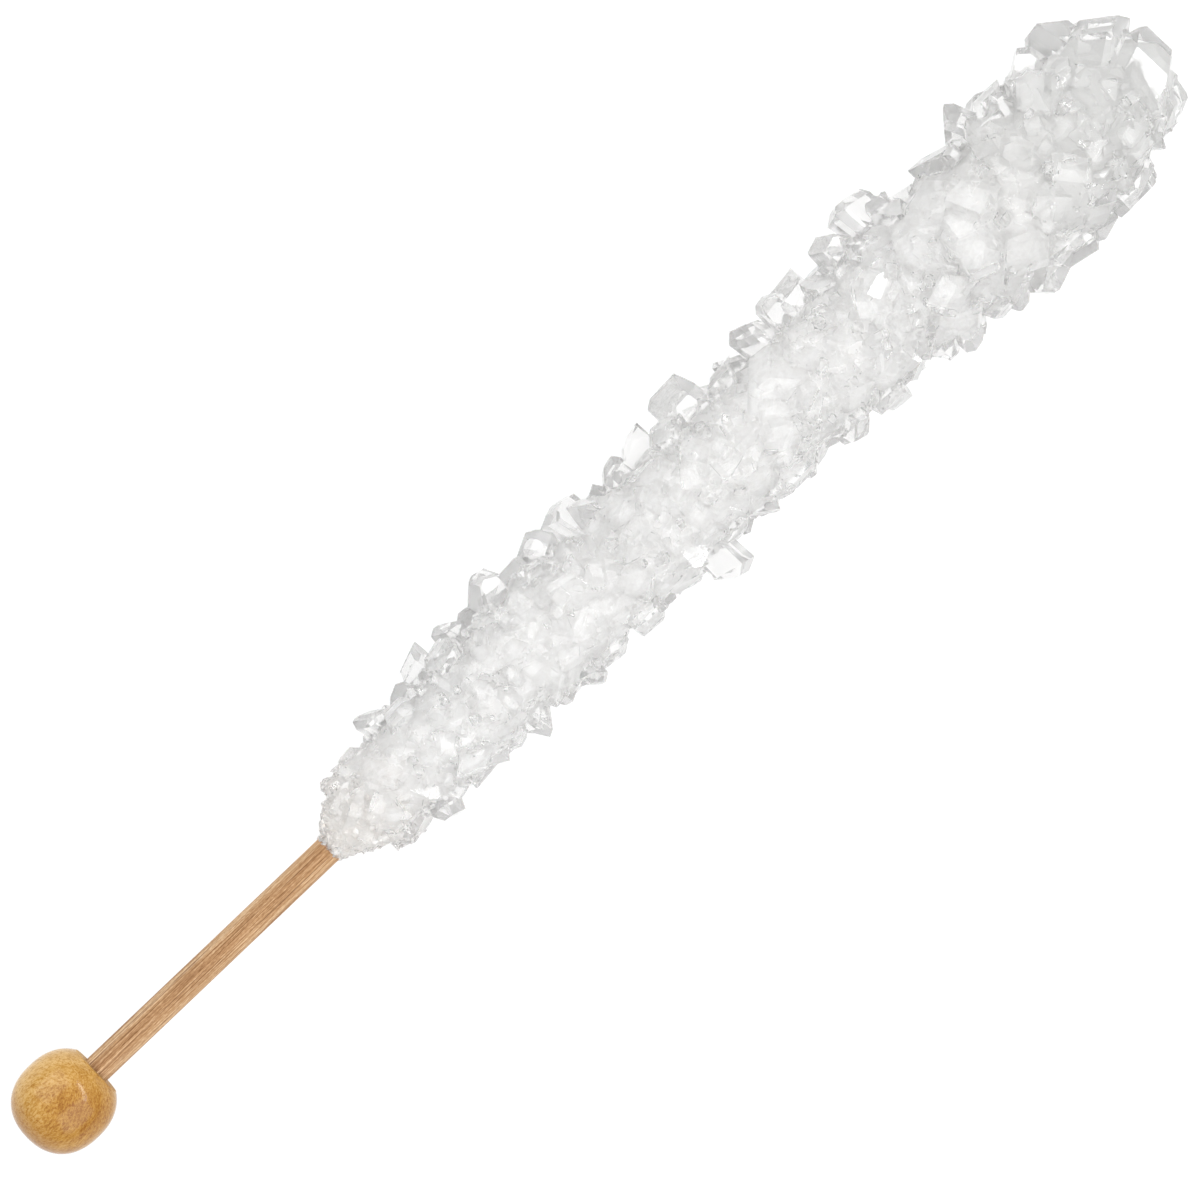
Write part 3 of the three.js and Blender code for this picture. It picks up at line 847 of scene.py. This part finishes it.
def clear_finish():
    """A glass with sugar's refraction. The less clear it is, the rougher its faces and the stronger the
    bump of the frost, each times 1 less the clearness."""
    sugar = Finish("clear_sugar")
    outer = sugar.node("ShaderNodeAttribute", {"attribute_name": "clearness"}, output="Fac")
    flaws = sugar.noise((500, 500, 500), detail=3.0, roughness=0.6)
    frost = sugar.noise((2600, 2600, 2600), detail=3.0, roughness=0.6)
    rough = (1 - outer) * flaws.between(0.35, 0.55) * 0.26 + flaws.between(0.5, 0.75) * 0.05 + 0.02
    colour = sugar.mix(outer, FROSTY_COLOUR, CLEAR_COLOUR)
    normal = sugar.bump(frost * (1.1 - outer) + flaws * (0.6 - outer * 0.25), 0.07 * MM, 0.6)
    return sugar.close({"Base Color": colour, "Roughness": rough, "Normal": normal, "IOR": SUGAR_IOR,
                        "Transmission Weight": 0.86})


FROSTY_SHARE, CLEAR_SHARE = 0.78, 0.97


def clearness_of(points):
    """0 in the frosty sugar near the stick or near the bare wood, 1 in the crystals that reach the
    outline. It grows evenly with the share of the reach that a point is at, from FROSTY_SHARE to
    CLEAR_SHARE. It is at least a half at the very tip."""
    along, across, up = unlay(points).T
    share = np.hypot(across, up) / np.maximum(reach_at(along, np.arctan2(up, across)), 1)
    grown = np.clip((along - CANDY_FROM) / CRUST_LENGTH, 0, 1)
    tip = np.clip((along - CANDY_TO) / TIP_LENGTH + 1, 0, 1)
    clear = np.clip((share - FROSTY_SHARE) / (CLEAR_SHARE - FROSTY_SHARE), 0, 1)
    return np.maximum(clear * grown, 0.5 * tip)


# %% [markdown]
# Deeper down the sugar is full of tiny flaws that scatter all the light, which is why the middle looks
# milky. That is the heart's finish: light goes in and comes out again a millimetre or two away. Near the
# wood it is a little warmer, and towards the tip a little greyer.

# %% Finish of the milky heart
def frame_x(*places):
    """How far along X in the frame, in metres, each place along the stick is."""
    return [float(lay([along, 0, 0])[0]) for along in places]


NEAR_WOOD = frame_x(CANDY_FROM, CANDY_FROM + 14)
NEAR_TIP = frame_x(CANDY_TO - 32, CANDY_TO - 12)


def heart_finish():
    """White with light scattered under its surface. The noise of the flaws picks a white, and two ramps
    along the stick mix in the warm tone near the wood and the grey one near the tip."""
    sugar = Finish("milky_sugar")
    flaws = sugar.noise((1400, 1400, 1400), detail=3.0, roughness=0.65)
    milky = sugar.mix(flaws.between(0.35, 0.65), paint(238, 237, 236), paint(254, 254, 253))
    along = sugar.place_on("X")
    near_wood = 1 - along.between(*NEAR_WOOD)
    stained = sugar.mix(near_wood * 0.4, milky, paint(255, 240, 230))
    colour = sugar.mix(along.between(*NEAR_TIP), stained, paint(229, 229, 228))
    normal = sugar.bump(flaws, 0.1 * MM, 0.6)
    return sugar.close({"Base Color": colour, "Roughness": 0.5, "Normal": normal, "Subsurface Weight": 1.0,
                        "Subsurface Radius": (1, 1, 1), "Subsurface Scale": 1.5 * MM})


# %% [markdown]
# ## Making the candy
#
# Now everything comes together, from the inside outwards. The heart is its mass, a rough coat of milky
# crystals, and fine grains and rime where the candy begins on the bare wood. The heart could be one plain
# cylinder, but it shines through the clear crystals, and its lumps are what gives the middle its depth.

# %% Make the milky heart
heart_mass = mass(5, (0.94, 0.7, 0.72, 0.7), CANDY_FROM + 0.1, CANDY_TO - 2.2, 0.05)
heart_crystals = scatter(31, 1250, 47.0, 164.0, (1.4, 3.0), (0.68, 0.79), 0.5)
grains = scatter(37, 260, 42.0, 48.0, (0.6, 1.3), (0.84, 0.92), 0.6)
rime = scatter(19, 240, 41.2, 43.4, (0.35, 0.7), (0.92, 1.0), 0.6)
milky = np.concatenate([heart_crystals, grains, rime])
print(len(milky), "milky crystals")

points, faces = fuse("milky_heart", *together(heart_mass, as_mesh(milky)))
make_piece("milky_heart", points, faces, heart_finish(), "sugar_crystal", "candy", False)

# %% [markdown]
# Over the heart goes the clear skin: its mass, large crystals mostly at the sides, medium ones everywhere,
# small ones between them, a crust that closes the lower end, fine sugar that creeps onto the wood, and the
# crystals that stand out.

# %% Make the clear crystals
beneath = mass(7, (0.98, 0.76, 0.8, 0.8), CANDY_FROM, CANDY_TO - 1.8, 0.03)
large = scatter(23, 360, 48.0, 168.0, (4.0, 5.8), (0.9, 1.03), 0.4, (0.9, 1.3), 2.4, (1, 0.15))
medium = scatter(29, 560, 46.0, 168.0, (2.0, 3.4), (0.84, 0.95), 0.5, (0.9, 1.3), 1.2, (0.3, 1))
small = scatter(11, 1100, 46.0, 166.0, (0.9, 1.8), (0.84, 0.95), 0.6, (0.9, 1.5), 0.0, (0.15, 1))
crust = scatter(13, 130, 41.8, 50.0, (0.8, 2.4), (0.98, 1.06), 0.5)
creep = scatter(17, 220, 41.3, 44.5, (0.45, 1.0), (0.98, 1.08), 0.6)
seeds = sown(43, 5000, 112.0, np.concatenate([medium, large]), (0.6, 1.3))
crystals = np.concatenate([small, creep, crust, medium, large, standouts(), seeds])
print(len(crystals), "clear crystals,", len(seeds), "of them on larger ones")

points, faces = fuse("sugar_crystals", *together(beneath, as_mesh(crystals)))
clearness = clearness_of(points)
make_piece("sugar_crystals", points, faces, clear_finish(), "sugar_crystal", "candy", False,
           {"clearness": clearness})
print("mean clearness", round(float(clearness.mean()), 2))

# %% [markdown]
# ## The camera
#
# A stick that lies down is best seen from straight above, and it runs aslant through the picture so that
# it fills it. A long lens from a metre away keeps its two ends at the same scale. The camera's distance
# follows from the lens: the wider the picture is on the table, the farther away it has to be.

# %% The camera
FRAME_WIDTH = 134.6
LENS = 300.0
SENSOR = 36.0
STICK_SLANT = 43.58
AIM_ALONG = 82.6
AIM_ACROSS = -0.73

aim = lay([AIM_ALONG, AIM_ACROSS, 0])
distance = FRAME_WIDTH * MM * LENS / SENSOR
camera_data = bpy.data.cameras.new("camera")
camera_data.lens = LENS
camera_data.sensor_width = SENSOR
camera_data.clip_start = 0.01
camera = bpy.data.objects.new("camera", camera_data)
camera.location = (aim[0], aim[1], aim[2] + distance)
camera.rotation_euler = (0, 0, -np.radians(STICK_SLANT))
bpy.context.scene.collection.objects.link(camera)
bpy.context.scene.camera = camera
print("the camera is", round(distance, 2), "m above the stick")

# %% [markdown]
# ## The table
#
# Clear sugar has no colour of its own. What we see in it is what lies behind and around it, bent. On a
# glowing table light comes up through the crystals, as on a light table, and their edges stay grey because
# they show the darker room. A white table under strong lamps would do the same, but the crystals' shadows
# would dirty it. So the table is a mid grey that glows nearly white.

# %% The table
TABLE_HALF = 2.0
TABLE_GLOW = 0.84


def table():
    """A square of the table, in the plane that the stick lies on."""
    mesh = bpy.data.meshes.new("table")
    corners = [(-TABLE_HALF, -TABLE_HALF, 0), (TABLE_HALF, -TABLE_HALF, 0), (TABLE_HALF, TABLE_HALF, 0),
               (-TABLE_HALF, TABLE_HALF, 0)]
    mesh.from_pydata(corners, [], [(0, 1, 2, 3)])
    surface = Finish("pale_table")
    colour = surface.mix(surface.noise((6, 6, 6)), paint(116, 116, 116), paint(120, 120, 120))
    mesh.materials.append(surface.close({"Base Color": colour, "Roughness": 0.6, "Specular IOR Level": 0.2,
                                         "Emission Color": (1, 1, 1, 1), "Emission Strength": TABLE_GLOW}))
    top = bpy.data.objects.new("table", mesh)
    bpy.context.scene.collection.objects.link(top)


table()
print("the table is", 2 * TABLE_HALF, "m wide and glows at", TABLE_GLOW)

# %% [markdown]
# ## The light
#
# The room is a soft white above and dark at the horizon, and that dark rim is what draws the grey edges of
# the crystals. It could be a picture of a real studio, but a ramp of three greys has nothing in it that
# the crystals would mirror as a stain.

# %% The room's light
HORIZON = [(0.0, (0.12, 0.12, 0.12, 1)), (0.3, (0.45, 0.45, 0.45, 1)), (0.8, (0.7, 0.7, 0.7, 1))]


def room():
    """A world whose brightness goes with the height of the direction: 0 at the horizon, 1 straight up."""
    made = bpy.data.worlds.new("studio")
    made.use_nodes = True
    bench = Bench(made.node_tree)
    direction = bench.node("ShaderNodeTexCoord", output="Generated")
    height = bench.node("ShaderNodeSeparateXYZ", None, {"Vector": direction}, "Z")
    glow = bench.node("ShaderNodeBackground", None, {"Color": bench.ramp(height, HORIZON), "Strength": 1.0})
    bench.node("ShaderNodeOutputWorld", None, {"Surface": glow})
    bpy.context.scene.world = made


room()
print("the room is", HORIZON[0][1][0], "at the horizon and", HORIZON[-1][1][0], "overhead")

# %% [markdown]
# Two large softboxes light the two long sides, and between them a narrow strip makes the small hard
# highlight on the ball and the flashes on the facets. One big lamp overhead would be simpler, but it would
# make every facet equally white.

# %% The lamps
def softbox(name, place, size, power):
    """A rectangular lamp at a place in metres, facing the middle of the stick. Power is in watts."""
    data = bpy.data.lights.new(name, "AREA")
    data.shape = "RECTANGLE"
    data.size, data.size_y = size
    data.energy = power
    lamp = bpy.data.objects.new(name, data)
    lamp.location = place
    lamp.rotation_euler = (-Vector(place)).to_track_quat("-Z", "Y").to_euler()
    bpy.context.scene.collection.objects.link(lamp)
    print(f"{name}: {power} W from {size[0]} x {size[1]} m")


softbox("key", (0.0, 0.62, 0.6), (0.85, 0.85), 5.0)
softbox("fill", (-0.1, -0.6, 0.6), (0.85, 0.85), 5.0)
softbox("strip", (0.5, -0.2, 0.7), (0.8, 0.07), 2.8)

# %% [markdown]
# ## Colours and bounces
#
# The Standard view keeps white white. Light passes many faces on its way through a crystal, and each pass
# counts as a bounce. With too few of them the sugar would turn black inside.

# %% Colours and bounces
bpy.context.scene.view_settings.view_transform = "Standard"
cycles = bpy.context.scene.cycles
cycles.max_bounces = 24
cycles.transmission_bounces = 24
cycles.glossy_bounces = 12
cycles.diffuse_bounces = 8
print("up to", cycles.max_bounces, "bounces")
